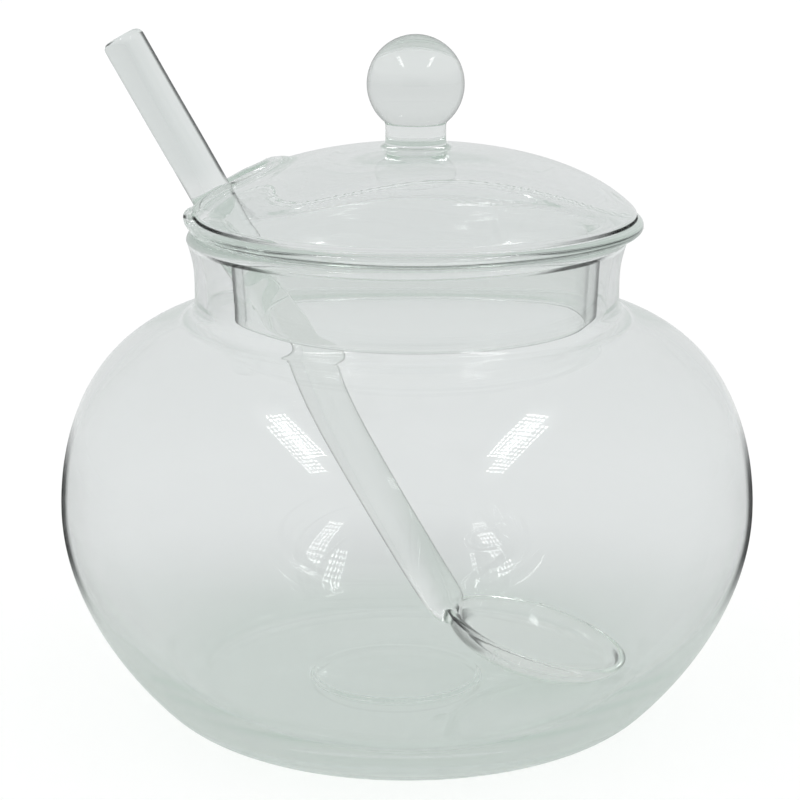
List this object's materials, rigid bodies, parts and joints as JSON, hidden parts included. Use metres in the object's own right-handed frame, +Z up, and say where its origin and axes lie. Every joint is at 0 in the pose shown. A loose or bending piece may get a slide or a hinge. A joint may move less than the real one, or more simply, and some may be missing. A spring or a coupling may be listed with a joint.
{
  "type": "condiment jar with lid and spoon",
  "caption": "Round clear glass condiment jar with a domed lift-off lid, a ball knob, and a glass spoon whose handle leans out through a notch in the lid.",
  "frame": {"origin": "where the jar's axis meets the surface that it stands on", "axes": "+Z up along the jar's axis; the spoon's handle leans towards -X and a little towards +Y; the picture looks along +Y"},
  "size_m": [0.106, 0.106, 0.1038],
  "materials": {
    "jar_glass": "clear blown glass, fire polished, faintly green where it is thick",
    "lid_glass": "clear blown glass, fire polished, faintly green at its edge",
    "spoon_glass": "clear drawn glass rod and blown bowl, fire polished"
  },
  "bodies": {
    "jar": {"jar": "jar_glass"},
    "lid": {"lid": "lid_glass"},
    "spoon": {"spoon": "spoon_glass"}
  },
  "joints": [
    {"name": "lid_lift", "type": "slide", "parent": "jar", "child": "lid", "axis": [0, 0, 1], "range_m": [0, 0.11]},
    {"name": "spoon_slide", "type": "slide", "parent": "jar", "child": "spoon", "axis": [-0.4899, 0.0628, 0.8695], "range_m": [0, 0.06]}
  ]
}
